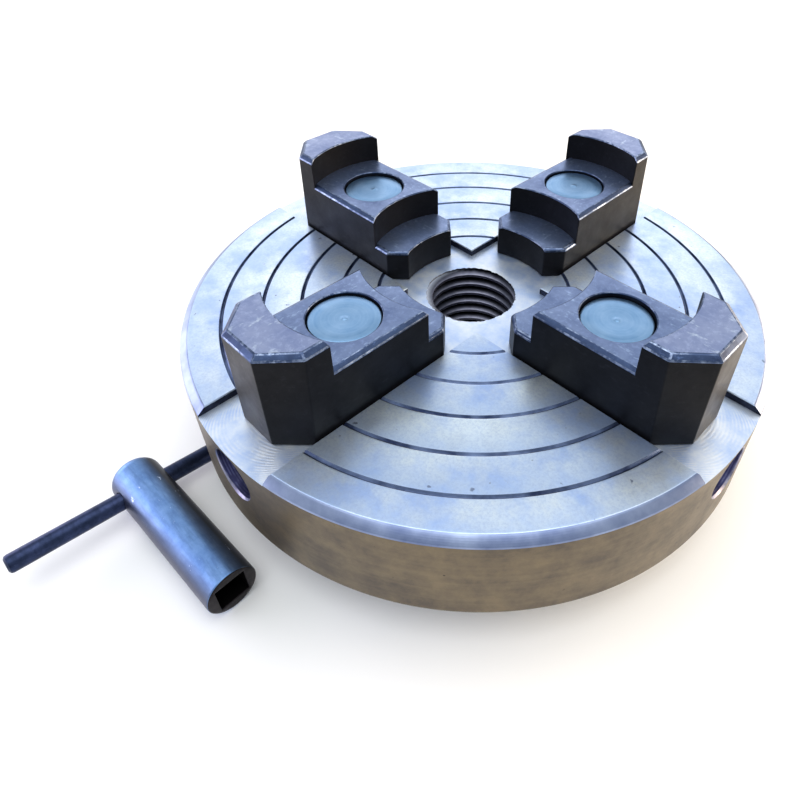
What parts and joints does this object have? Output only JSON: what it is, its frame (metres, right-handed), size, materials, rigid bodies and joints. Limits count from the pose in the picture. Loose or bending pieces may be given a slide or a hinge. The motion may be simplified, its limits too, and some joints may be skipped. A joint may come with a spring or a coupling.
{
  "type": "four-jaw independent lathe chuck with key",
  "caption": "Flat round lathe chuck with separately screwed stepped jaws on a threaded hub, and its square-socket key with a cross bar.",
  "frame": {"origin": "centre of the hub's back face, on the spindle axis, where the chuck meets the spindle's shoulder", "axes": "+Z along the spindle axis from the hub towards the face that carries the jaws; +X along jaw 1 and +Y along jaw 2"},
  "size_m": [0.15, 0.1929, 0.0609],
  "materials": {
    "cast_body": "turned and ground bright",
    "black_oxide": "black oxide on ground steel",
    "turned_steel": "faced end with concentric marks",
    "plain_steel": "oiled machined steel",
    "blued_steel": "heat-blued steel, lightly scratched"
  },
  "bodies": {
    "chuck": {"chuck_body": "cast_body", "thrust_fork_1": "plain_steel", "thrust_fork_2": "plain_steel", "thrust_fork_3": "plain_steel", "thrust_fork_4": "plain_steel"},
    "jaw_1": {"jaw_1": "black_oxide", "jaw_post_1": "turned_steel", "clamp_washer_1": "plain_steel", "clamp_nut_1": "plain_steel"},
    "screw_1": {"lead_screw_1": "plain_steel"},
    "jaw_2": {"jaw_2": "black_oxide", "jaw_post_2": "turned_steel", "clamp_washer_2": "plain_steel", "clamp_nut_2": "plain_steel"},
    "screw_2": {"lead_screw_2": "plain_steel"},
    "jaw_3": {"jaw_3": "black_oxide", "jaw_post_3": "turned_steel", "clamp_washer_3": "plain_steel", "clamp_nut_3": "plain_steel"},
    "screw_3": {"lead_screw_3": "plain_steel"},
    "jaw_4": {"jaw_4": "black_oxide", "jaw_post_4": "turned_steel", "clamp_washer_4": "plain_steel", "clamp_nut_4": "plain_steel"},
    "screw_4": {"lead_screw_4": "plain_steel"},
    "key": {"key_socket": "blued_steel", "key_bar": "blued_steel"}
  },
  "joints": [
    {"name": "screw_1_turn", "type": "hinge", "parent": "chuck", "child": "screw_1", "pos_m": [0.04, 0, 0.0288], "axis": [1, 0, 0], "range_deg": [-1945, 1531]},
    {"name": "jaw_1_slide", "type": "slide", "parent": "chuck", "child": "jaw_1", "axis": [1, 0, 0], "range_m": [-0.0108, 0.0085]},
    {"name": "screw_2_turn", "type": "hinge", "parent": "chuck", "child": "screw_2", "pos_m": [0, 0.04, 0.0288], "axis": [0, 1, 0], "range_deg": [-1855, 1621]},
    {"name": "jaw_2_slide", "type": "slide", "parent": "chuck", "child": "jaw_2", "axis": [0, 1, 0], "range_m": [-0.0103, 0.009]},
    {"name": "screw_3_turn", "type": "hinge", "parent": "chuck", "child": "screw_3", "pos_m": [-0.04, 0, 0.0288], "axis": [-1, 0, 0], "range_deg": [-1459, 2017]},
    {"name": "jaw_3_slide", "type": "slide", "parent": "chuck", "child": "jaw_3", "axis": [-1, 0, 0], "range_m": [-0.0081, 0.0112]},
    {"name": "screw_4_turn", "type": "hinge", "parent": "chuck", "child": "screw_4", "pos_m": [0, -0.04, 0.0288], "axis": [0, -1, 0], "range_deg": [-1882, 1594]},
    {"name": "jaw_4_slide", "type": "slide", "parent": "chuck", "child": "jaw_4", "axis": [0, -1, 0], "range_m": [-0.01045, 0.00885]},
    {"name": "key_pull", "type": "slide", "parent": "chuck", "child": "key", "axis": [0, -1, 0], "range_m": [0, 0.1]}
  ],
  "couplings": [
    {"joint": "screw_1_turn", "follows": "jaw_1_slide", "rad_per_m": 3141.6},
    {"joint": "screw_2_turn", "follows": "jaw_2_slide", "rad_per_m": 3141.6},
    {"joint": "screw_3_turn", "follows": "jaw_3_slide", "rad_per_m": 3141.6},
    {"joint": "screw_4_turn", "follows": "jaw_4_slide", "rad_per_m": 3141.6}
  ]
}
